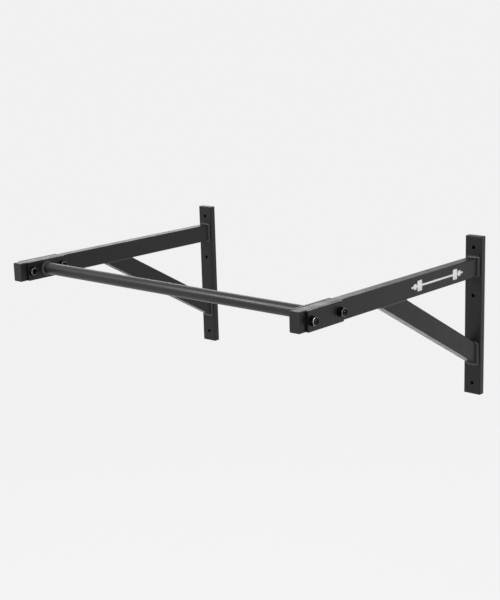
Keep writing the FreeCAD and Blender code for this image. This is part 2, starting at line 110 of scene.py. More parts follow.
def power(name, watts, description):
    """A light's power in watts."""
    return FloatProperty(
        name=name, description=description, default=watts, min=0, unit="POWER"
    )


def colour(name, default, description):
    """A linear colour property."""
    return FloatVectorProperty(
        name=name, description=description, default=default, min=0, max=1, subtype="COLOR", size=3
    )


def share(name, default, description):
    """A number from 0 to 1."""
    return FloatProperty(
        name=name, description=description, default=default, min=0, max=1, subtype="FACTOR"
    )


class BarSizes(bpy.types.PropertyGroup):
    """Sizes that the frame's boxes don't tell."""

    tube_wall: length("Tube wall", 0.002, "Wall thickness of the rectangular tubes")
    tube_corner: length("Tube corner", 0.003, "Outer corner radius of the rectangular tubes")
    bar_wall: length("Bar wall", 0.003, "Wall thickness of the grip bar")
    plate_corner: length("Plate corner", 0.0015, "Corner radius of the flat plates")
    edge_softness: length("Edge softness", 0.0004, "Width of the softened cut edges")
    bolt_hole: length("Bolt hole", 0.0065, "Radius of the holes for the bolts")
    bead_pitch: length("Bead pitch", 0.0026, "Distance between two ripples of a weld")
    bead_seed: IntProperty(name="Bead seed", description="Random draw of the welds", default=7)


class BarColours(bpy.types.PropertyGroup):
    """Colours and gloss of the coats."""

    coat: colour("Coat", (0.0055, 0.0055, 0.0056), "Powder coat on the tubes and plates")
    # lighter coat on the edges: partly rub wear, partly a painted highlight along them
    coat_wear_and_sheen: colour("Worn coat", (0.06, 0.06, 0.061), "Powder coat where edges rub bright")
    coat_roughness: share("Coat roughness", 0.36, "Roughness of the powder coat")
    coat_gloss: share("Coat gloss", 0.3, "Strength of the powder coat's reflections")
    # lighter than the coat: painted light, for the light that the welds' ripples catch
    bead: colour("Bead", (0.02, 0.02, 0.0203), "Powder coat where the welds' ripples scatter light")
    bead_roughness: share("Bead roughness", 0.3, "Roughness where the coat pools on the welds")
    bead_gloss: share("Bead gloss", 0.45, "Strength of the reflections on the welds")
    grip: colour("Grip", (0.013, 0.013, 0.0132), "Coat on the grip bar")
    grip_roughness: share("Grip roughness", 0.34, "Roughness of the grip bar")
    fastener: colour("Fasteners", (0.002, 0.002, 0.0021), "Black zinc on bolts, nuts and washers")
    plastic: colour("Plastic", (0.01, 0.01, 0.0102), "End caps")
    nylon: colour("Nylon", (0.03, 0.03, 0.031), "Locking rings")
    marking: colour("Marking", (0.82, 0.82, 0.81), "Printed marking on the arms")


class BarStudio(bpy.types.PropertyGroup):
    """Camera, light and floor."""

    azimuth: angle("Azimuth", 41.82, "Camera's turn round the bar")
    elevation: angle("Elevation", 12.98, "Camera's height above level")
    roll: angle("Roll", -1.66, "Camera's tilt to one side")
    aim: FloatVectorProperty(
        name="Aim", description="Point in the middle of the view", size=3, subtype="XYZ",
        default=(0.0018, -0.3642, 0.0458),
    )
    distance: length("Distance", 3.3695, "From the camera to the aim point")
    focal_length: FloatProperty(
        name="Focal length", description="Lens, in millimetres", default=74.94, min=1
    )
    backdrop: share("Backdrop", 0.879, "Brightness of the backdrop and of the even light")
    floor_drop: length("Floor drop", 1.9, "From the brackets' lower ends down to the floor")
    back_power: power("Back power", 17.5, "Large softbox above and behind, on the left")
    front_power: power("Front power", 75, "Softbox in front on the left, for the bar's highlight")
    low_power: power("Low power", 3.5, "Softbox below and behind, for the braces' undersides")
    spark_power: power("Spark power", 9, "Small lamp above on the right, for the nuts' highlights")


class PullUpBar(bpy.types.PropertyGroup):
    """All settings of the model."""

    sizes: PointerProperty(type=BarSizes)
    colours: PointerProperty(type=BarColours)
    studio: PointerProperty(type=BarStudio)


# Node helpers.


def add_node(tree, kind, inputs=None, **settings):
    """A node with its settings; an input takes a value or another node's output."""
    made = tree.nodes.new(kind)
    for name, value in settings.items():
        setattr(made, name, value)
    for name, value in (inputs or {}).items():
        if isinstance(value, bpy.types.NodeSocket):
            tree.links.new(value, made.inputs[name])
        else:
            made.inputs[name].default_value = value
    return made


def number(tree, operation, first, second=0.0, third=0.0):
    """The result of a Math node."""
    made = add_node(tree, "ShaderNodeMath", operation=operation)
    for socket, value in zip(made.inputs, (first, second, third)):
        if isinstance(value, bpy.types.NodeSocket):
            tree.links.new(value, socket)
        else:
            socket.default_value = value
    return made.outputs[0]


def between(tree, value, low, high, to_low, to_high):
    """A value brought from one range to another, held inside it."""
    made = add_node(
        tree, "ShaderNodeMapRange",
        {"Value": value, "From Min": low, "From Max": high, "To Min": to_low, "To Max": to_high},
    )
    return made.outputs["Result"]


def mixed(tree, factor, first, second):
    """Two colours mixed by a factor."""
    made = add_node(tree, "ShaderNodeMix", data_type="RGBA")
    for name, value in (("Factor_Float", factor), ("A_Color", first), ("B_Color", second)):
        socket = next(item for item in made.inputs if item.identifier == name)
        if isinstance(value, bpy.types.NodeSocket):
            tree.links.new(value, socket)
        else:
            socket.default_value = value
    return next(item for item in made.outputs if item.identifier == "Result_Color")


def place_on_piece(tree, stretch=(1, 1, 1)):
    """Object coordinates, stretched along the axes where a pattern runs one way."""
    place = add_node(tree, "ShaderNodeTexCoord").outputs["Object"]
    if stretch == (1, 1, 1):
        return place
    return add_node(tree, "ShaderNodeMapping", {"Vector": place, "Scale": stretch}).outputs[0]


def grain(tree, place, grain_size, detail=2.0, roughness=0.5):
    """Noise whose lumps are grain_size metres across."""
    made = add_node(
        tree, "ShaderNodeTexNoise",
        {"Vector": place, "Scale": 1 / grain_size, "Detail": detail, "Roughness": roughness},
    )
    return made.outputs["Fac"]


def raised(tree, height, rise, normal=None):
    """A bump that stands up by rise metres where height is 1."""
    inputs = {"Height": height, "Distance": rise, "Strength": 1.0}
    if normal is not None:
        inputs["Normal"] = normal
    return add_node(tree, "ShaderNodeBump", inputs).outputs["Normal"]


NOISE_LOW, NOISE_HIGH = 0.3, 0.7  # where nearly all of a noise lies


def spread(tree, noise, to_low=0.0, to_high=1.0):
    """A noise brought from where it mostly lies to another range."""
    return between(tree, noise, NOISE_LOW, NOISE_HIGH, to_low, to_high)


def opaque(rgb):
    """A colour with its alpha."""
    return (*rgb, 1.0)


def scaled(rgb, factor):
    """A colour made lighter or darker, with its alpha."""
    return opaque(min(1.0, channel * factor) for channel in rgb)


def drifting(tree, factor, rgb, tones):
    """A colour that drifts between two tones of itself."""
    return mixed(tree, factor, scaled(rgb, tones[0]), scaled(rgb, tones[1]))


# Numbers of the finishes. Sizes and rises are in metres, tones are shares of the colour, and four
# numbers are the range of a noise and the range that it becomes.

FLAT_TO_EDGE = (0.995, 0.80)  # how far the normal turns from a flat to an edge with rub wear and a painted highlight, as cosines
# patches where the edges show their rub wear and painted highlight
WEAR_AND_SHEEN_PATCHES = (0.42, 0.66, 0.15, 1.0)


def rubbed_edges_and_sheen(tree, reach, place, patch_size):
    """1 where an edge is lighter, partly from rub wear and partly as a painted highlight, 0 on the
    flats; broken up by noise.
    """
    rounded = add_node(tree, "ShaderNodeBevel", {"Radius": reach}, samples=6).outputs["Normal"]
    true_normal = add_node(tree, "ShaderNodeNewGeometry").outputs["Normal"]
    facing = add_node(
        tree, "ShaderNodeVectorMath", {0: rounded, 1: true_normal}, operation="DOT_PRODUCT"
    ).outputs["Value"]
    edge = between(tree, facing, *FLAT_TO_EDGE, 0.0, 1.0)
    lumps = grain(tree, place, patch_size, detail=4.0, roughness=0.6)
    return number(tree, "MULTIPLY", edge, between(tree, lumps, *WEAR_AND_SHEEN_PATCHES))


def new_coat(name, gloss=0.5):
    """An empty material: its tree and its shader."""
    made = bpy.data.materials.new(name)
    made.use_nodes = True
    made.node_tree.nodes.clear()
    shader = made.node_tree.nodes.new("ShaderNodeBsdfPrincipled")
    output = made.node_tree.nodes.new("ShaderNodeOutputMaterial")
    made.node_tree.links.new(shader.outputs["BSDF"], output.inputs["Surface"])
    shader.inputs["Specular IOR Level"].default_value = gloss
    return made, made.node_tree, shader


# Powder coat.

CLOUD_SIZE = 0.09
CLOUD_TONES = (0.86, 1.12)
SPECKLE_SIZE = 0.0007
SPECKLE_SHOWS = (0.52, 0.78, 0.0, 0.55)
SPECKLE_TONE = 1.9
SPECKLE_RISE = 0.3  # as a share of the orange peel's
PEEL_SIZE = 0.0024
COAT_PEEL = 0.000035
GRIP_PEEL = 0.00004
BEAD_PEEL = 0.000012
GRIP_STRETCH = (0.12, 1, 1)
HAZE_SIZE = 0.03
HAZE_SMOOTHER, HAZE_ROUGHER = -0.05, 0.07
EDGE_REACH = 0.0012
EDGE_PATCH = 0.012
EDGE_POLISH = 0.06
# how much of the lighter edge colour shows: rub wear and painted highlight
COAT_WEAR_AND_SHEEN = 0.6


def powder_coat(name, rgb, roughness, gloss, peel=COAT_PEEL, wear_and_sheen=COAT_WEAR_AND_SHEEN, stretch=(1, 1, 1)):
    """Satin powder coat: orange peel, fine grain, cloudy gloss, and edges a little lighter, partly
    from rub wear and partly as a painted highlight.
    """
    made, tree, shader = new_coat(name, gloss)
    edge_wear_and_sheen = bpy.context.scene.pull_up_bar.colours.coat_wear_and_sheen
    place = place_on_piece(tree)
    along = place_on_piece(tree, stretch)
    clouds = spread(tree, grain(tree, place, CLOUD_SIZE, detail=3.0))
    speckle = grain(tree, along, SPECKLE_SIZE, detail=2.0, roughness=0.6)
    tone = drifting(tree, clouds, rgb, CLOUD_TONES)
    tone = mixed(tree, between(tree, speckle, *SPECKLE_SHOWS), tone, scaled(rgb, SPECKLE_TONE))
    # edges lighter in colour: rub wear and a painted highlight along them
    edges = rubbed_edges_and_sheen(tree, EDGE_REACH, place, EDGE_PATCH)
    tone = mixed(tree, number(tree, "MULTIPLY", edges, wear_and_sheen), tone, opaque(edge_wear_and_sheen))
    tree.links.new(tone, shader.inputs["Base Color"])
    patches = grain(tree, along, HAZE_SIZE, detail=4.0, roughness=0.6)
    haze = spread(tree, patches, roughness + HAZE_SMOOTHER, roughness + HAZE_ROUGHER)
    haze = number(tree, "SUBTRACT", haze, number(tree, "MULTIPLY", edges, EDGE_POLISH))
    tree.links.new(haze, shader.inputs["Roughness"])
    orange_peel = raised(tree, grain(tree, along, PEEL_SIZE, detail=1.0), peel)
    fine = raised(tree, speckle, peel * SPECKLE_RISE, orange_peel)
    tree.links.new(fine, shader.inputs["Normal"])
    return made


# Moulded plastic.

PLASTIC_GLOSS = 0.3
PIT_SIZE = 0.0005
PIT_DEPTH = 0.000012
PIT_SMOOTHER, PIT_ROUGHER = -0.06, 0.08
PLASTIC_CLOUD = 0.03
PLASTIC_TONES = (0.85, 1.2)


def moulded_plastic(name, rgb, roughness):
    """Black moulded plastic with a fine spark-eroded grain."""
    made, tree, shader = new_coat(name, PLASTIC_GLOSS)
    place = place_on_piece(tree)
    pits = grain(tree, place, PIT_SIZE, detail=2.0, roughness=0.7)
    clouds = spread(tree, grain(tree, place, PLASTIC_CLOUD, detail=3.0))
    tree.links.new(drifting(tree, clouds, rgb, PLASTIC_TONES), shader.inputs["Base Color"])
    haze = spread(tree, pits, roughness + PIT_SMOOTHER, roughness + PIT_ROUGHER)
    tree.links.new(haze, shader.inputs["Roughness"])
    tree.links.new(raised(tree, pits, PIT_DEPTH), shader.inputs["Normal"])
    return made


# Black zinc.

TURNING_ATTRIBUTE = "from_axis"
RUBBED_AND_SHEEN_ATTRIBUTE = "rubbed"
# colour of the lighter rims and edges: bare steel from rub wear, and a painted highlight
BARE_STEEL_AND_SHEEN = (0.6, 0.6, 0.605)
ZINC_GLOSS = 0.04
TURNING_PITCH = 0.00035
TURNING_RISE = 0.000003
BLOTCH_SIZE = 0.004
BLOTCH_TONES = (0.7, 1.5)
BLOTCH_ROUGHNESS = (0.14, 0.26)
ZINC_EDGE_REACH = 0.0006
ZINC_PATCH = 0.003
RIM_PATCHES = (0.35, 0.6, 0.3, 1.0)
STEEL_SHOWS = 0.8
DENT_SIZE = 0.0008
DENT_DEPTH = 0.000008


def black_zinc(name, rgb):
    """Oiled black zinc on turned steel: turning marks round each axis, rims lighter and metallic,
    partly from rub wear to the steel and partly as a painted highlight.
    """
    made, tree, shader = new_coat(name, ZINC_GLOSS)
    place = place_on_piece(tree)
    from_axis, rims = (
        add_node(tree, "ShaderNodeAttribute", attribute_name=attribute).outputs["Fac"]
        for attribute in (TURNING_ATTRIBUTE, RUBBED_AND_SHEEN_ATTRIBUTE)
    )
    marks = number(tree, "SINE", number(tree, "MULTIPLY", from_axis, FULL_TURN / TURNING_PITCH))
    blotches = grain(tree, place, BLOTCH_SIZE, detail=4.0, roughness=0.6)
    edges = rubbed_edges_and_sheen(tree, ZINC_EDGE_REACH, place, ZINC_PATCH)
    lumps = grain(tree, place, ZINC_PATCH, detail=3.0, roughness=0.6)
    # rims brought to bright steel: rub wear and a painted highlight on the heads' and nuts' rims
    rims = number(tree, "MULTIPLY", rims, between(tree, lumps, *RIM_PATCHES))
    edges = number(tree, "MAXIMUM", edges, rims)
    tone = drifting(tree, spread(tree, blotches), rgb, BLOTCH_TONES)
    # lighter steel colour on edges and rims: rub wear and painted highlight
    tone = mixed(tree, edges, tone, opaque(BARE_STEEL_AND_SHEEN))
    tree.links.new(tone, shader.inputs["Base Color"])
    tree.links.new(number(tree, "MULTIPLY", edges, STEEL_SHOWS), shader.inputs["Metallic"])
    tree.links.new(spread(tree, blotches, *BLOTCH_ROUGHNESS), shader.inputs["Roughness"])
    dents = grain(tree, place, DENT_SIZE, detail=2.0)
    dented = raised(tree, dents, DENT_DEPTH, raised(tree, marks, TURNING_RISE))
    tree.links.new(dented, shader.inputs["Normal"])
    return made


# Printing ink.

MOTTLE_SIZE = 0.0016
MOTTLE_SHOWS = (0.35, 0.7, 0.0, 1.0)
MOTTLE_TONES = (1.0, 0.9)
MOTTLE_ROUGHNESS = (0.42, 0.58)
MOTTLE_RISE = 0.00001


def printed_ink(name, rgb):
    """White print with the slight mottle of ink on a grained coat."""
    made, tree, shader = new_coat(name)
    mottle = grain(tree, place_on_piece(tree), MOTTLE_SIZE, detail=3.0, roughness=0.6)
    tone = drifting(tree, between(tree, mottle, *MOTTLE_SHOWS), rgb, MOTTLE_TONES)
    tree.links.new(tone, shader.inputs["Base Color"])
    tree.links.new(spread(tree, mottle, *MOTTLE_ROUGHNESS), shader.inputs["Roughness"])
    tree.links.new(raised(tree, mottle, MOTTLE_RISE), shader.inputs["Normal"])
    return made


# Coats by name.

CAP_ROUGHNESS = 0.46
RING_ROUGHNESS = 0.4


def coat(name):
    """The finished coat of that name, made once."""
    found = bpy.data.materials.get(name)
    if found:
        return found
    colours = bpy.context.scene.pull_up_bar.colours
    makers = {
        "satin_coat": lambda: powder_coat(
            name, colours.coat, colours.coat_roughness, colours.coat_gloss
        ),
        "grip_satin": lambda: powder_coat(
            name, colours.grip, colours.grip_roughness, colours.coat_gloss, peel=GRIP_PEEL,
            stretch=GRIP_STRETCH,
        ),
        # the welds' coat is a lighter copy of the powder coat: painted light on the beads
        "bead_satin": lambda: powder_coat(
            name, colours.bead, colours.bead_roughness, colours.bead_gloss, peel=BEAD_PEEL, wear_and_sheen=0.0
        ),
        "cap_black": lambda: moulded_plastic(name, colours.plastic, CAP_ROUGHNESS),
        "ring_nylon": lambda: moulded_plastic(name, colours.nylon, RING_ROUGHNESS),
        "black_zinc": lambda: black_zinc(name, colours.fastener),
        "marking_ink": lambda: printed_ink(name, colours.marking),
    }
    return makers[name]()


# Mesh helpers.

SHARP = math.radians(35)
CORNER_STEPS = 6
HOLE_STEPS = 48
TURNING_STEPS = 64


def add_piece(name, shape, finish, stands_for=()):
    """Turn a finished shape into a piece of the model that rides on the frame."""
    mesh = bpy.data.meshes.new(name)
    shape.to_mesh(mesh)
    shape.free()
    mesh.shade_smooth()
    mesh.materials.append(coat(finish))
    piece = bpy.data.objects.new(name, mesh)
    bpy.context.scene.collection.objects.link(piece)
    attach(piece, "root")
    if stands_for:
        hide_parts(*stands_for)
    return piece


def soften_edges(piece, width, steps=3):
    """Round every sharp edge, and keep the flats flat."""
    bevel = piece.modifiers.new("SoftEdges", "BEVEL")
    bevel.width = width
    bevel.segments = steps
    bevel.limit_method = "ANGLE"
    bevel.angle_limit = SHARP
    flats = piece.modifiers.new("FlatFlats", "WEIGHTED_NORMAL")
    flats.keep_sharp = True


def rounded_section(width, height, radius, steps=CORNER_STEPS):
    """A flat rectangle in X and Y with round corners, its middle on the origin."""
    shape = bmesh.new()
    bmesh.ops.create_grid(shape, x_segments=1, y_segments=1, size=0.5)
    bmesh.ops.scale(shape, vec=(width, height, 1), verts=shape.verts)
    bmesh.ops.bevel(
        shape, geom=shape.verts[:], offset=radius, segments=steps, profile=0.5, affect="VERTICES",
        material=-1,
    )
    return shape


def pull_up(shape, distance):
    """Extrude the whole flat shape along +Z by distance and close it."""
    made = bmesh.ops.extrude_face_region(shape, geom=shape.faces[:])
    verts = [item for item in made["geom"] if isinstance(item, bmesh.types.BMVert)]
    bmesh.ops.translate(shape, vec=(0, 0, distance), verts=verts)
    bmesh.ops.recalc_face_normals(shape, faces=shape.faces[:])


def hollow_section(shape, wall):
    """Take the inside out of a flat section, so that a ring of wall is left."""
    middle = shape.faces[:]
    bmesh.ops.inset_region(
        shape, faces=middle, thickness=wall, use_boundary=True, use_even_offset=True
    )
    bmesh.ops.delete(shape, geom=middle, context="FACES_ONLY")


def rectangular_tube(width, height, length_along, sizes):
    """A hollow tube with round corners that runs up from the origin along +Z."""
    shape = rounded_section(width, height, sizes.tube_corner)
    hollow_section(shape, sizes.tube_wall)
    pull_up(shape, length_along)
    return shape


def turn_and_move(shape, turn, place):
    """Turn a shape about the origin, then move it to its place."""
    bmesh.ops.transform(shape, matrix=Matrix.Translation(place) @ turn.to_4x4(), verts=shape.verts)


def join_shapes(shape, other):
    """Put a second shape's mesh into the first, and free the second."""
    mesh = bpy.data.meshes.new("part")
    other.to_mesh(mesh)
    other.free()
    shape.from_mesh(mesh)
    bpy.data.meshes.remove(mesh)


def standing(axis_x, axis_y, axis_z):
    """The turn that takes X, Y and Z to the three axes given."""
    return Matrix((axis_x, axis_y, axis_z)).transposed()


def drill(piece, holes, radius, direction, depth):
    """Drill round holes right through a piece."""
    cutter_shape = bmesh.new()
    turn = direction.to_track_quat("Z", "Y").to_matrix()
    for place in holes:
        made = bmesh.ops.create_cone(
            cutter_shape, cap_ends=True, segments=HOLE_STEPS, radius1=radius, radius2=radius,
            depth=depth,
        )
        bmesh.ops.transform(
            cutter_shape, matrix=Matrix.Translation(place) @ turn.to_4x4(), verts=made["verts"]
        )
    cutter_mesh = bpy.data.meshes.new("drill")
    cutter_shape.to_mesh(cutter_mesh)
    cutter_shape.free()
    cutter = bpy.data.objects.new("drill", cutter_mesh)
    bpy.context.scene.collection.objects.link(cutter)
    cut = piece.modifiers.new("Holes", "BOOLEAN")
    cut.operation = "DIFFERENCE"
    cut.solver = "EXACT"
    cut.object = cutter
    bpy.context.view_layer.update()
    drilled = bpy.data.meshes.new_from_object(
        piece.evaluated_get(bpy.context.evaluated_depsgraph_get())
    )
    piece.modifiers.clear()
    undrilled, piece.data = piece.data, drilled
    drilled.name = piece.name
    bpy.data.meshes.remove(undrilled)
    bpy.data.objects.remove(cutter)
    bpy.data.meshes.remove(cutter_mesh)


def turned(profile, steps=TURNING_STEPS):
    """A solid turned on a lathe: profile gives (distance along X, radius) from end to end."""
    shape = bmesh.new()
    verts = [shape.verts.new((along, radius, 0)) for along, radius in profile]
    edges = [shape.edges.new(pair) for pair in zip(verts, verts[1:])]
    bmesh.ops.spin(
        shape, geom=verts + edges, cent=(0, 0, 0), axis=X_AXIS, angle=FULL_TURN, steps=steps,
        use_merge=True,
    )
    bmesh.ops.remove_doubles(shape, verts=shape.verts[:], dist=SAME_PLACE)
    bmesh.ops.recalc_face_normals(shape, faces=shape.faces[:])
    return shape


def saw(shape, place, outwards):
    """Saw off what lies beyond a plane. Gives the edges of the open cut."""
    made = bmesh.ops.bisect_plane(
        shape, geom=shape.verts[:] + shape.edges[:] + shape.faces[:], dist=SAME_PLACE,
        plane_co=place, plane_no=outwards, clear_outer=True,
    )
    return [item for item in made["geom_cut"] if isinstance(item, bmesh.types.BMEdge)]


def cut_to_hexagon(shape, flats):
    """Saw six flats on a turned blank."""
    for i in range(6):
        angle = i * FULL_TURN / 6
        outwards = Vector((0, math.cos(angle), math.sin(angle)))
        bmesh.ops.edgeloop_fill(shape, edges=saw(shape, outwards * flats / 2, outwards))
    bmesh.ops.recalc_face_normals(shape, faces=shape.faces[:])


# Tubes.


def make_wall_tube(side, sizes):
    """The upright tube, with its three screw holes drilled through both walls."""
    node = f"{side}_wall_tube"
    low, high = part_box(node)
    middle = middle_of(node)
    shape = rectangular_tube(high.x - low.x, high.y - low.y, high.z - low.z, sizes)
    bmesh.ops.translate(shape, vec=(middle.x, middle.y, low.z), verts=shape.verts)
    piece = add_piece(f"{side}_upright", shape, "satin_coat", [node])
    screws = mount("wall_holes")["dims"]
    rise = screws["spacing_y_mm"] / 2 / MM_PER_M
    heights = (rise, -rise, mount("middle_wall_holes")["pos_m"][2])
    holes = [Vector((middle.x, middle.y, height)) for height in heights]
    drill(piece, holes, screws["hole_r_mm"] / MM_PER_M, Y_AXIS, 2 * (high.y - low.y))
    soften_edges(piece, sizes.edge_softness)


def bolt_places():
    """Where the bolts' axes cross each arm: one before and one behind the grip bar."""
    bar = middle_of("grip_bar")
    low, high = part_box("clamp_bolts")
    flats = hexagon_of("clamp_bolts")[1]
    half_pitch = (high.y - low.y) / 2 - flats / 2
    return [Vector((0, bar.y + way * half_pitch, bar.z)) for way in (-1, 1)]


def make_arm(side, sizes):
    """The level tube from the upright to the tip, with its bolt holes."""
    node = f"{side}_arm_tube"
    low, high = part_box(node)
    middle = middle_of(node)
    shape = rectangular_tube(high.x - low.x, high.z - low.z, high.y - low.y, sizes)
    forwards = standing(X_AXIS, Z_AXIS, -Y_AXIS)
    turn_and_move(shape, forwards, Vector((middle.x, high.y, middle.z)))
    piece = add_piece(f"{side}_arm", shape, "satin_coat", [node])
    holes = [place + X_AXIS * middle.x for place in bolt_places()]
    drill(piece, holes, sizes.bolt_hole, X_AXIS, 2 * (high.x - low.x))
    soften_edges(piece, sizes.edge_softness)


def brace_directions(side):
    """Along the brace, upwards and forwards, and square to it, upwards and back."""
    size = size_of(f"{side}_brace_tube")
    slope = math.atan2(size.z, size.y)
    along = Vector((0, -math.cos(slope), math.sin(slope)))
    square = Vector((0, math.sin(slope), math.cos(slope)))
    return slope, along, square


def make_brace(side, sizes):
    """The sloping tube, sawn flush with the arm's underside and the upright's front."""
    node = f"{side}_brace_tube"
    low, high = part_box(node)
    slope, along, square = brace_directions(side)
    arm = size_of(f"{side}_arm_tube")
    lower_corner = Vector(((low.x + high.x) / 2, high.y, low.z))
    spare = arm.z / math.tan(slope)
    run = (high - low).yz.length
    shape = rectangular_tube(high.x - low.x, arm.z, run + 2 * spare, sizes)
    start = lower_corner + square * arm.z / 2 - along * spare
    turn_and_move(shape, standing(X_AXIS, square, along), start)
    for outwards in (Y_AXIS, Z_AXIS):
        bmesh.ops.bridge_loops(shape, edges=saw(shape, high * outwards, outwards))
    bmesh.ops.recalc_face_normals(shape, faces=shape.faces[:])
    piece = add_piece(f"{side}_brace", shape, "satin_coat", [node])
    soften_edges(piece, sizes.edge_softness)


# End caps.

CAP_FLANGE = 0.003
CAP_RIM = 0.0012
CAP_RIM_STEPS = 4
CAP_GAP = 0.0002


def make_cap(name, node, outwards, across, sizes):
    """A push-in cap: a flange with rounded rim, and a hollow plug inside the tube."""
    low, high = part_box(node)
    size = high - low
    upright = outwards.cross(across)
    width = abs(size.dot(across))
    height = abs(size.dot(upright))
    depth = abs(size.dot(outwards))
    shape = rounded_section(width, height, sizes.tube_corner)
    pull_up(shape, CAP_FLANGE)
    rim = [
        edge for edge in shape.edges
        if all(abs(vert.co.z - CAP_FLANGE) < SAME_PLACE for vert in edge.verts)
    ]
    bmesh.ops.bevel(
        shape, geom=rim, offset=CAP_RIM, segments=CAP_RIM_STEPS, profile=0.5, affect="EDGES",
        material=-1,
    )
    inset = 2 * (sizes.tube_wall + CAP_GAP)
    plug = rounded_section(width - inset, height - inset, sizes.tube_corner - sizes.tube_wall)
    hollow_section(plug, sizes.tube_wall)
    pull_up(plug, -(depth - CAP_FLANGE))
    join_shapes(shape, plug)
    face_out = middle_of(node) + outwards * (depth / 2 - CAP_FLANGE)
    turn_and_move(shape, standing(across, upright, outwards), face_out)
    piece = add_piece(name, shape, "cap_black", [node])
    soften_edges(piece, sizes.edge_softness / 2, steps=2)


# Welds. A bead starts as a flat grid, which is rolled round its own section and laid along its
# path, with ripples where each puddle froze over the last.

BEAD_STEPS = 15
BEAD_FACE_STEPS = 12
STEPS_PER_RIPPLE = 5
BEAD_ROOT = 0.0006  # how deep the root is sunk in the steel
BEAD_BOW = 0.13  # this and the next four are shares of the leg
BEAD_RIPPLE = 0.055
BEAD_WANDER = 0.06
SEAM_RISE = 0.5
SEAM_SINK = 0.55
WANDER_WAVES = 5
WANDER_TURNS = (2, 14)  # waves on the whole length of a bead
RIPPLE_CURL = 0.4  # how far a ripple lags at the bead's edges, as a share of the pitch
RIPPLE_MIDDLE = 0.6


def round_corner_path(width, height, radius):
    """A path round a rectangle: share 0 to 1 gives a point and the way outwards, and its length."""
    straight_x, straight_y = width - 2 * radius, height - 2 * radius
    arc = radius * math.pi / 2
    total = 2 * (straight_x + straight_y) + 4 * arc
    corners = (
        (Vector((straight_x / 2, -straight_y / 2)), 0, straight_y),
        (Vector((straight_x / 2, straight_y / 2)), math.pi / 2, straight_x),
        (Vector((-straight_x / 2, straight_y / 2)), math.pi, straight_y),
        (Vector((-straight_x / 2, -straight_y / 2)), -math.pi / 2, straight_x),
    )

    def at(part):
        left = (part % 1.0) * total
        for corner, angle, straight in corners:
            outwards = Vector((math.cos(angle), math.sin(angle)))
            if left <= straight:
                sideways = Vector((-outwards.y, outwards.x))
                return corner + outwards * radius + sideways * left, outwards
            left -= straight
            if left <= arc:
                turn = angle + left / radius
                outwards = Vector((math.cos(turn), math.sin(turn)))
                end = corner + Vector((-math.sin(angle), math.cos(angle))) * straight
                return end + outwards * radius, outwards
            left -= arc
        return at(0.0)

    return at, total


def circle_path(radius):
    """A path round a circle."""

    def at(part):
        angle = part * FULL_TURN
        outwards = Vector((math.cos(angle), math.sin(angle)))
        return outwards * radius, outwards

    return at, FULL_TURN * radius


def fillet_section(part, leg):
    """The section of a fillet bead, closed: a point (outwards, forwards) and how exposed it is.

    The first steps are the bowed face from the plate to the tube. The last are the root's corners,
    sunk in the steel, and the start again.
    """
    step = round(part * BEAD_STEPS)
    if step < BEAD_FACE_STEPS:
        turn = step / BEAD_FACE_STEPS
        exposed = math.sin(turn * math.pi)
        return Vector((leg * (1 - turn), leg * turn)) * (1 + BEAD_BOW * exposed), exposed
    root = ((-BEAD_ROOT, leg), (-BEAD_ROOT, -BEAD_ROOT), (leg, -BEAD_ROOT), (leg, 0.0))
    return Vector(root[step - BEAD_FACE_STEPS]), 0.0


def seam_section(part, leg):
    """The section of a seam bead on flush faces: a flat oval, which starts sunk in the steel."""
    angle = (part + 0.5) * FULL_TURN
    outwards = math.cos(angle)
    return Vector((leg * SEAM_RISE * outwards, leg * 0.5 * math.sin(angle))), max(outwards, 0.0)


def lay_bead(path, section, leg, pitch, seed):
    """A closed bead in the plane of X and Y that stands up along +Z."""
    at, total = path
    steps_along = round(total / pitch * STEPS_PER_RIPPLE)
    ripples = round(total / pitch)
    draw = random.Random(seed)
    waves = [
        (draw.randint(*WANDER_TURNS), draw.uniform(0, FULL_TURN)) for _ in range(WANDER_WAVES)
    ]
    shape = bmesh.new()
    bmesh.ops.create_grid(shape, x_segments=steps_along, y_segments=BEAD_STEPS, size=0.5)
    for vert in shape.verts:
        along, across = vert.co.x + 0.5, vert.co.y + 0.5
        offset, exposed = section(across, leg)
        curl = RIPPLE_CURL * (1 - exposed)
        puddle = abs(math.sin(math.pi * (ripples * along + curl)))
        wander = sum(math.sin(FULL_TURN * turns * along + phase) for turns, phase in waves)
        swell = BEAD_RIPPLE * (puddle - RIPPLE_MIDDLE) + BEAD_WANDER * wander / len(waves)
        offset = offset * (1 + exposed * swell)
        point, outwards = at(along)
        flat = point + outwards * offset.x
        vert.co = Vector((flat.x, flat.y, offset.y))
    bmesh.ops.remove_doubles(shape, verts=shape.verts[:], dist=SAME_PLACE)
    bmesh.ops.recalc_face_normals(shape, faces=shape.faces[:])
    return shape


def make_arm_wall_weld(side, sizes, seed):
    """The bead round the arm, on the upright."""
    node = f"{side}_arm_wall_weld"
    arm = size_of(f"{side}_arm_tube")
    leg = size_of(node).y
    path = round_corner_path(arm.x, arm.z, sizes.tube_corner)
    shape = lay_bead(path, fillet_section, leg, sizes.bead_pitch, seed)
    middle = middle_of(node)
    wall_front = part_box(node)[1].y
    turn_and_move(
        shape, standing(X_AXIS, Z_AXIS, -Y_AXIS), Vector((middle.x, wall_front, middle.z))
    )
    add_piece(f"{side}_arm_bead", shape, "bead_satin", [node])


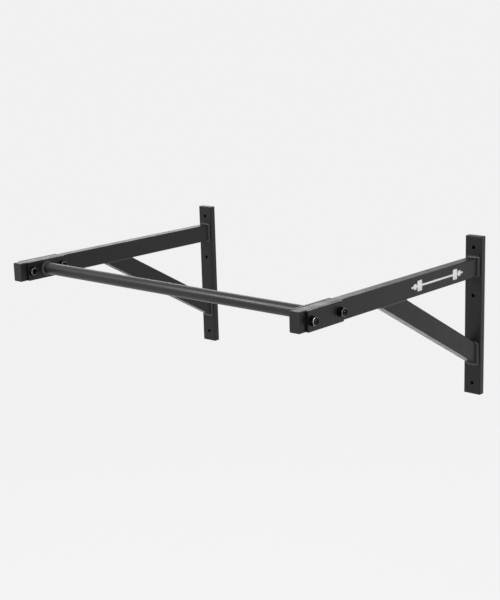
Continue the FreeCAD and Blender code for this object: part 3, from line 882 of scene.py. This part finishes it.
def make_brace_wall_weld(side, sizes, seed):
    """The bead round the brace's foot, leaning with the brace."""
    node = f"{side}_brace_wall_weld"
    low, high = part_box(f"{side}_brace_tube")
    slope = brace_directions(side)[0]
    foot_height = size_of(f"{side}_arm_tube").z / math.cos(slope)
    leg = size_of(node).y
    path = round_corner_path(high.x - low.x, foot_height, sizes.tube_corner)
    shape = lay_bead(path, fillet_section, leg, sizes.bead_pitch, seed)
    for vert in shape.verts:
        vert.co.y += vert.co.z * math.tan(slope)
    foot = Vector(((low.x + high.x) / 2, high.y, low.z + foot_height / 2))
    turn_and_move(shape, standing(X_AXIS, Z_AXIS, -Y_AXIS), foot)
    add_piece(f"{side}_foot_bead", shape, "bead_satin", [node])


def make_brace_arm_weld(side, sizes, seed):
    """The seam round the brace's head, under the arm."""
    node = f"{side}_brace_arm_weld"
    low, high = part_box(f"{side}_brace_tube")
    slope = brace_directions(side)[0]
    head_length = size_of(f"{side}_arm_tube").z / math.sin(slope)
    leg = size_of(node).z
    path = round_corner_path(high.x - low.x - leg * SEAM_SINK, head_length, sizes.tube_corner)
    shape = lay_bead(path, seam_section, leg, sizes.bead_pitch, seed)
    head = Vector(((low.x + high.x) / 2, low.y + head_length / 2, high.z))
    bmesh.ops.translate(shape, vec=head, verts=shape.verts)
    add_piece(f"{side}_head_bead", shape, "bead_satin", [node])


def make_bar_weld(side, sizes, seed):
    """The bead round the grip bar's end, on its plate."""
    way = SIDES[side]
    node = f"{side}_bar_weld"
    low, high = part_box(node)
    leg = high.x - low.x
    path = circle_path(size_of("grip_bar").z / 2)
    shape = lay_bead(path, fillet_section, leg, sizes.bead_pitch, seed)
    middle = middle_of(node)
    plate_face = high.x if way > 0 else low.x
    turn_and_move(
        shape, standing(Y_AXIS, Z_AXIS * -way, X_AXIS * -way),
        Vector((plate_face, middle.y, middle.z)),
    )
    add_piece(f"{side}_bar_bead", shape, "bead_satin", [node])


# Grip bar and plates.

BAR_STEPS = 96


def make_grip_bar(sizes):
    """The round tube between the plates, its walls and both ends closed into one skin."""
    low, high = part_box("grip_bar")
    outer = (high.z - low.z) / 2
    inner = outer - sizes.bar_wall
    half = (high.x - low.x) / 2
    corners = [(-half, outer), (half, outer), (half, inner), (-half, inner), (-half, outer)]
    shape = turned(corners, BAR_STEPS)
    bmesh.ops.translate(shape, vec=middle_of("grip_bar"), verts=shape.verts)
    piece = add_piece("grip_tube", shape, "grip_satin", ["grip_bar"])
    soften_edges(piece, sizes.edge_softness, steps=2)


def make_plate(name, node, sizes):
    """A flat plate on the arm's side, with its two bolt holes."""
    low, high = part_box(node)
    size = high - low
    shape = rounded_section(size.y, size.z, sizes.plate_corner)
    pull_up(shape, size.x)
    middle = middle_of(node)
    turn_and_move(
        shape, standing(Y_AXIS, Z_AXIS, X_AXIS), Vector((low.x, middle.y, middle.z))
    )
    piece = add_piece(name, shape, "satin_coat", [node])
    holes = [place + X_AXIS * middle.x for place in bolt_places()]
    drill(piece, holes, sizes.bolt_hole, X_AXIS, 2 * size.x)
    soften_edges(piece, sizes.edge_softness)


# Fasteners. Each is made at the right-hand arm, with its axis along +X.

FASTENER_TURNS = {"left": (11, 34), "right": (22, 5)}  # degrees, at the front and back bolts
FASTENER_SOFTNESS = 0.0002
RIM_REACH = 0.0016
RIM_OUT = 0.53  # radius of a rim with rub wear and painted highlight, as a share of the flats
HEX_FACE = 0.475  # radius of a hexagon's round face, as a share of its flats
BOLT_RADIUS = 0.006
HEAD_HEIGHT = 0.0075
HEAD_BEVEL = 0.0012
HEAD_LOOP = 0.003  # one more edge loop, behind the bevel
HEAD_RIM_IN = 0.0005
HEAD_FACE = 0.47
HEAD_GROOVE = (0.30, 0.33, 0.36)  # inner rim, bottom and outer rim, as shares of the flats
HEAD_GROOVE_DEPTH = 0.0003
WASHER_FACE_HEIGHT = 0.0005
THREAD_LENGTH = 0.014
THREAD_PITCH = 0.00175
THREAD_DEPTH = 0.0009
THREAD_CHAMFER = 0.0011
WASHER_ROLL = 0.16  # as a share of the thickness
NUT_HEXAGON = 0.01
NUT_FOOT = 0.001
NUT_BEVEL = 0.0012
COLLAR_RADIUS = 0.0088
COLLAR_BEND = 0.0012
LIP_HEIGHT = 0.0008
LIP_DEPTH = 0.0006
LIP_BEVEL = 0.0002
RING_RADIUS = 0.0075
RING_BOTTOM = 0.003
RING_DROP = 0.0009
RING_HEIGHT = 0.002
RING_INSET = 0.0007
RING_BEVEL = 0.0003
RING_BULGE = 0.0002


def mark_turning(shape, rims):
    """Store each point's distance from the X axis, and how far it is lighter from rub wear and
    painted highlight.

    A rim is (distance along X, radius): points within RIM_REACH of one get rub wear and the painted
    highlight.
    """
    from_axis = shape.verts.layers.float.new(TURNING_ATTRIBUTE)
    rubbed = shape.verts.layers.float.new(RUBBED_AND_SHEEN_ATTRIBUTE)
    for vert in shape.verts:
        radius = vert.co.yz.length
        vert[from_axis] = radius
        vert[rubbed] = max(
            (1.0 - math.dist((vert.co.x, radius), rim) / RIM_REACH for rim in rims), default=0.0
        )


def fit_at_bolts(name, make_shape, finish, node, edge_width=0.0):
    """Put copies of one fastener at every bolt: it is made at the right-hand arm, along +X."""
    whole = bmesh.new()
    whole.verts.layers.float.new(TURNING_ATTRIBUTE)
    whole.verts.layers.float.new(RUBBED_AND_SHEEN_ATTRIBUTE)
    for i, place in enumerate(bolt_places()):
        for side, way in SIDES.items():
            shape, rims = make_shape()
            mark_turning(shape, rims)
            spin = Matrix.Rotation(math.radians(FASTENER_TURNS[side][i]), 3, X_AXIS)
            facing = Matrix.Rotation(0 if way > 0 else math.pi, 3, Z_AXIS)
            turn_and_move(shape, facing @ spin, place)
            join_shapes(whole, shape)
    piece = add_piece(name, whole, finish, [node])
    if edge_width:
        soften_edges(piece, edge_width, steps=2)


def far_side(node):
    """How far a part reaches along +X from the middle of the object."""
    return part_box(node)[1].x


def washer_thickness():
    """Thickness of a washer: it stands on the backing plate."""
    return far_side("bolt_washers") - far_side("right_backing_plate")


def bolt_shape():
    """One bolt: bevelled hexagon head with a washer face, plain shank and cut thread."""
    end = far_side("clamp_bolts")
    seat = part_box("right_bar_plate")[0].x - washer_thickness()
    corner, flats = hexagon_of("clamp_bolts")
    face = seat - HEAD_HEIGHT
    groove_start, groove_middle, groove_end = (flats * part for part in HEAD_GROOVE)
    profile = [
        (face, 0.0),
        (face, groove_start),
        (face + HEAD_GROOVE_DEPTH, groove_middle),
        (face, groove_end),
        (face, flats * HEAD_FACE),
        (face + HEAD_BEVEL, corner),
        (face + HEAD_LOOP, corner),
        (seat - WASHER_FACE_HEIGHT, corner),
        (seat - WASHER_FACE_HEIGHT, flats * HEX_FACE),
        (seat, flats * HEAD_FACE),
        (seat, BOLT_RADIUS),
    ]
    turns = round(THREAD_LENGTH / THREAD_PITCH)
    first = end - THREAD_CHAMFER - turns * THREAD_PITCH
    for i in range(turns):
        start = first + i * THREAD_PITCH
        profile.append((start, BOLT_RADIUS))
        profile.append((start + THREAD_PITCH / 2, BOLT_RADIUS - THREAD_DEPTH))
    profile += [
        (end - THREAD_CHAMFER, BOLT_RADIUS),
        (end, BOLT_RADIUS - THREAD_CHAMFER),
        (end, 0.0),
    ]
    shape = turned(profile)
    cut_to_hexagon(shape, flats)
    return shape, [(face + HEAD_RIM_IN, flats * RIM_OUT)]


def washer_shape(inner_face, thickness):
    """One flat washer with a punched, slightly rolled rim."""
    low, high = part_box("bolt_washers")
    rim = (high.z - low.z) / 2
    bore = bpy.context.scene.pull_up_bar.sizes.bolt_hole
    roll = thickness * WASHER_ROLL
    outer_face = inner_face + thickness
    return turned([
        (inner_face, bore + roll),
        (inner_face, rim - roll),
        (inner_face + roll, rim),
        (outer_face - roll, rim),
        (outer_face, rim - roll),
        (outer_face, bore + roll),
        (outer_face - roll, bore),
        (inner_face + roll, bore),
        (inner_face, bore + roll),
    ])


def washer_pair():
    """The washer under the head and the one under the nut."""
    thickness = washer_thickness()
    shape = washer_shape(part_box("right_bar_plate")[0].x - thickness, thickness)
    join_shapes(shape, washer_shape(far_side("right_backing_plate"), thickness))
    return shape, []


def nut_shape():
    """One lock nut: hexagon, then a round collar rolled in over its ring."""
    seat = far_side("bolt_washers")
    top = far_side("lock_nuts")
    corner, flats = hexagon_of("lock_nuts")
    hexagon_top = seat + NUT_HEXAGON
    bend = COLLAR_BEND / 3
    bore = RING_RADIUS - LIP_DEPTH
    shape = turned([
        (seat, BOLT_RADIUS),
        (seat, flats * HEX_FACE),
        (seat + NUT_FOOT, corner),
        (hexagon_top - NUT_BEVEL, corner),
        (hexagon_top, flats * HEX_FACE),
        (hexagon_top, COLLAR_RADIUS),
        (top - COLLAR_BEND, COLLAR_RADIUS),
        (top - bend, COLLAR_RADIUS - bend),
        (top, COLLAR_RADIUS - COLLAR_BEND),
        (top - LIP_BEVEL, bore + LIP_BEVEL),
        (top - LIP_HEIGHT, bore),
        (top - RING_BOTTOM, bore),
        (top - RING_BOTTOM, BOLT_RADIUS),
        (seat, BOLT_RADIUS),
    ])
    cut_to_hexagon(shape, flats)
    return shape, [(hexagon_top - NUT_BEVEL / 2, flats * RIM_OUT)]


def ring_shape():
    """One nylon ring inside the nut's collar, bulged by the bolt."""
    top = far_side("lock_nuts") - RING_DROP
    low = top - RING_HEIGHT
    rim = RING_RADIUS - RING_INSET
    shape = turned([
        (low, BOLT_RADIUS),
        (low, rim),
        (top - RING_BEVEL, rim),
        (top, rim - RING_BEVEL),
        (top + RING_BULGE, (rim + BOLT_RADIUS) / 2),
        (top, BOLT_RADIUS),
        (low, BOLT_RADIUS),
    ])
    return shape, []


# Marking: a plain barbell, printed on the outer side of each arm.

MARK_LENGTH = 0.232
MARK_BACK = 0.076
MARK_ROD = 0.005
MARK_PLATES = ((0.016, 0.012, 0.014), (0.036, 0.020, 0.027))  # in from the end, width, height
MARK_ROUNDING = 0.16
MARK_CORNER_STEPS = 4
ROD_INK = 0.0001
PLATE_INK = 0.00014  # thicker than the rod's, so that the two tops don't lie on each other
MARK_SUNK = 0.00004


def make_marking(side):
    """Flat print of a barbell: one long rod with two plates at each end."""
    way = SIDES[side]
    arm_low, arm_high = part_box(f"{side}_arm_tube")
    middle = middle_of(f"{side}_arm_tube")
    face = arm_high.x if way > 0 else arm_low.x
    print_middle = arm_high.y - MARK_BACK - MARK_LENGTH / 2
    whole = bmesh.new()
    strokes = [(0.0, MARK_LENGTH, MARK_ROD, ROD_INK)]
    for end in (-1, 1):
        for inward, width, height in MARK_PLATES:
            strokes.append((end * (MARK_LENGTH / 2 - inward), width, height, PLATE_INK))
    for place, width, height, thickness in strokes:
        rounding = min(width, height) * MARK_ROUNDING
        stroke = rounded_section(width, height, rounding, MARK_CORNER_STEPS)
        pull_up(stroke, thickness)
        bmesh.ops.translate(stroke, vec=(place, 0, 0), verts=stroke.verts)
        join_shapes(whole, stroke)
    turn_and_move(
        whole, standing(Y_AXIS * way, Z_AXIS, X_AXIS * way),
        Vector((face - way * MARK_SUNK, print_middle, middle.z)),
    )
    add_piece(f"{side}_marking", whole, "marking_ink")


# Studio. Places are in metres, in the frame.

FLOOR_HALF = 60
FLOOR_GREY = 0.12
SENSOR_WIDTH = 36  # millimetres
LIGHTS = (
    # name, place, point it faces, width and height
    ("back", (-2.9, 2.1, 1.4), (-0.2, -0.4, 0.1), 2.4, 1.2),
    ("front", (-1.4, -2.5, 2.0), (0.2, -0.6, 0.1), 0.6, 1.1),
    ("low", (-1.0, 1.1, -1.1), (0.3, -0.2, 0.0), 1.2, 1.2),
    ("spark", (2.2, -1.2, 1.9), (0.5, -0.7, 0.1), 0.2, 0.2),
)


def make_floor(studio):
    """A wide, pale, plain floor."""
    shape = bmesh.new()
    bmesh.ops.create_grid(shape, x_segments=1, y_segments=1, size=FLOOR_HALF)
    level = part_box("left_wall_tube_bottom_cap")[0].z - studio.floor_drop
    bmesh.ops.translate(shape, vec=(0, 0, level), verts=shape.verts)
    mesh = bpy.data.meshes.new("studio_floor")
    shape.to_mesh(mesh)
    shape.free()
    made = bpy.data.materials.new("studio_paper")
    made.use_nodes = True
    tree = made.node_tree
    tree.nodes.clear()
    grey = opaque([FLOOR_GREY] * 3)
    paper = add_node(tree, "ShaderNodeBsdfDiffuse", {"Color": grey})
    glow = add_node(tree, "ShaderNodeEmission", {"Strength": studio.backdrop * (1 - FLOOR_GREY)})
    both = add_node(tree, "ShaderNodeAddShader", {0: paper.outputs[0], 1: glow.outputs[0]})
    output = add_node(tree, "ShaderNodeOutputMaterial")
    tree.links.new(both.outputs[0], output.inputs["Surface"])
    mesh.materials.append(made)
    floor = bpy.data.objects.new("studio_floor", mesh)
    bpy.context.scene.collection.objects.link(floor)


def make_world(studio):
    """Even white light from everywhere, as in a light tent."""
    world = bpy.data.worlds.new("light_tent")
    world.use_nodes = True
    background = world.node_tree.nodes["Background"]
    background.inputs["Color"].default_value = (1, 1, 1, 1)
    background.inputs["Strength"].default_value = studio.backdrop
    bpy.context.scene.world = world


def add_light(name, place, aim, width, height, power):
    """A rectangular light that faces the aim point."""
    data = bpy.data.lights.new(name, "AREA")
    data.shape = "RECTANGLE"
    data.size = width
    data.size_y = height
    data.energy = power
    light = bpy.data.objects.new(name, data)
    light.location = place
    light.visible_camera = False
    light.rotation_euler = (Vector(aim) - Vector(place)).to_track_quat("-Z", "Y").to_euler()
    bpy.context.scene.collection.objects.link(light)


def make_camera(studio):
    """The camera, set by its turn, height and tilt about the aim point."""
    data = bpy.data.cameras.new("camera")
    data.lens = studio.focal_length
    data.sensor_width = SENSOR_WIDTH
    camera = bpy.data.objects.new("camera", data)
    level = math.cos(studio.elevation)
    back = Vector((
        math.sin(studio.azimuth) * level,
        -math.cos(studio.azimuth) * level,
        math.sin(studio.elevation),
    ))
    turn = back.to_track_quat("Z", "Y").to_matrix() @ Matrix.Rotation(studio.roll, 3, "Z")
    camera.matrix_world = (
        Matrix.Translation(Vector(studio.aim) + back * studio.distance) @ turn.to_4x4()
    )
    bpy.context.scene.collection.objects.link(camera)
    bpy.context.scene.camera = camera


# Operators.


class PULLUP_OT_tubes(bpy.types.Operator):
    """Build the uprights, arms and braces of both brackets"""

    bl_idname = "pullup.tubes"
    bl_label = "Tubes"

    def execute(self, context):
        sizes = context.scene.pull_up_bar.sizes
        for side in SIDES:
            make_wall_tube(side, sizes)
            make_arm(side, sizes)
            make_brace(side, sizes)
        return {"FINISHED"}


class PULLUP_OT_caps(bpy.types.Operator):
    """Close the ends of the arms and uprights with plastic caps"""

    bl_idname = "pullup.caps"
    bl_label = "End caps"

    def execute(self, context):
        sizes = context.scene.pull_up_bar.sizes
        for side in SIDES:
            make_cap(f"{side}_tip_cap", f"{side}_arm_end_cap", -Y_AXIS, X_AXIS, sizes)
            make_cap(f"{side}_top_cap", f"{side}_wall_tube_top_cap", Z_AXIS, X_AXIS, sizes)
            make_cap(f"{side}_bottom_cap", f"{side}_wall_tube_bottom_cap", -Z_AXIS, X_AXIS, sizes)
        return {"FINISHED"}


class PULLUP_OT_welds(bpy.types.Operator):
    """Lay the rippled weld beads of the brackets and of the grip bar"""

    bl_idname = "pullup.welds"
    bl_label = "Welds"

    def execute(self, context):
        sizes = context.scene.pull_up_bar.sizes
        for i, side in enumerate(SIDES):
            seed = sizes.bead_seed + 10 * i
            make_arm_wall_weld(side, sizes, seed)
            make_brace_wall_weld(side, sizes, seed + 1)
            make_brace_arm_weld(side, sizes, seed + 2)
            make_bar_weld(side, sizes, seed + 3)
        return {"FINISHED"}


class PULLUP_OT_grip(bpy.types.Operator):
    """Build the round grip bar"""

    bl_idname = "pullup.grip"
    bl_label = "Grip bar"

    def execute(self, context):
        make_grip_bar(context.scene.pull_up_bar.sizes)
        return {"FINISHED"}


class PULLUP_OT_plates(bpy.types.Operator):
    """Build the bar plates and the backing plates"""

    bl_idname = "pullup.plates"
    bl_label = "Plates"

    def execute(self, context):
        sizes = context.scene.pull_up_bar.sizes
        for side in SIDES:
            make_plate(f"{side}_inner_plate", f"{side}_bar_plate", sizes)
            make_plate(f"{side}_outer_plate", f"{side}_backing_plate", sizes)
        return {"FINISHED"}


class PULLUP_OT_fasteners(bpy.types.Operator):
    """Fit the bolts, washers, lock nuts and their rings"""

    bl_idname = "pullup.fasteners"
    bl_label = "Fasteners"

    def execute(self, context):
        softness = FASTENER_SOFTNESS
        fit_at_bolts("bolts", bolt_shape, "black_zinc", "clamp_bolts", softness)
        fit_at_bolts("washers", washer_pair, "black_zinc", "bolt_washers")
        fit_at_bolts("nuts", nut_shape, "black_zinc", "lock_nuts", softness)
        fit_at_bolts("nut_rings", ring_shape, "ring_nylon", "nut_locking_rings")
        return {"FINISHED"}


class PULLUP_OT_markings(bpy.types.Operator):
    """Print the plain barbell marking on both arms"""

    bl_idname = "pullup.markings"
    bl_label = "Markings"

    def execute(self, context):
        for side in SIDES:
            make_marking(side)
        return {"FINISHED"}


class PULLUP_OT_studio(bpy.types.Operator):
    """Set up the floor, the lights and the camera"""

    bl_idname = "pullup.studio"
    bl_label = "Studio"

    def execute(self, context):
        studio = context.scene.pull_up_bar.studio
        context.scene.view_settings.view_transform = "Standard"
        make_floor(studio)
        make_world(studio)
        for name, place, aim, width, height in LIGHTS:
            add_light(name, place, aim, width, height, getattr(studio, f"{name}_power"))
        make_camera(studio)
        return {"FINISHED"}


OPERATORS = (
    PULLUP_OT_tubes,
    PULLUP_OT_caps,
    PULLUP_OT_welds,
    PULLUP_OT_grip,
    PULLUP_OT_plates,
    PULLUP_OT_fasteners,
    PULLUP_OT_markings,
    PULLUP_OT_studio,
)


class VIEW3D_PT_pull_up_bar(bpy.types.Panel):
    """Lists the steps that build the pull up bar"""

    bl_label = "Pull up bar"
    bl_space_type = "VIEW_3D"
    bl_region_type = "UI"
    bl_category = "Pull up bar"

    def draw(self, context):
        for operator in OPERATORS:
            self.layout.operator(operator.bl_idname)
        settings = context.scene.pull_up_bar
        for group in (settings.sizes, settings.colours, settings.studio):
            box = self.layout.box()
            for name in group.__annotations__:
                box.prop(group, name)


CLASSES = (BarSizes, BarColours, BarStudio, PullUpBar, *OPERATORS, VIEW3D_PT_pull_up_bar)


def register():
    """Add the classes, and the settings to the scene"""
    for item in CLASSES:
        bpy.utils.register_class(item)
    bpy.types.Scene.pull_up_bar = PointerProperty(type=PullUpBar)


def unregister():
    """Take the classes and the settings away again"""
    del bpy.types.Scene.pull_up_bar
    for item in reversed(CLASSES):
        bpy.utils.unregister_class(item)


def main():
    """Build everything in order."""
    register()
    bpy.ops.pullup.tubes()
    bpy.ops.pullup.caps()
    bpy.ops.pullup.welds()
    bpy.ops.pullup.grip()
    bpy.ops.pullup.plates()
    bpy.ops.pullup.fasteners()
    bpy.ops.pullup.markings()
    bpy.ops.pullup.studio()


if __name__ == "__main__":
    main()
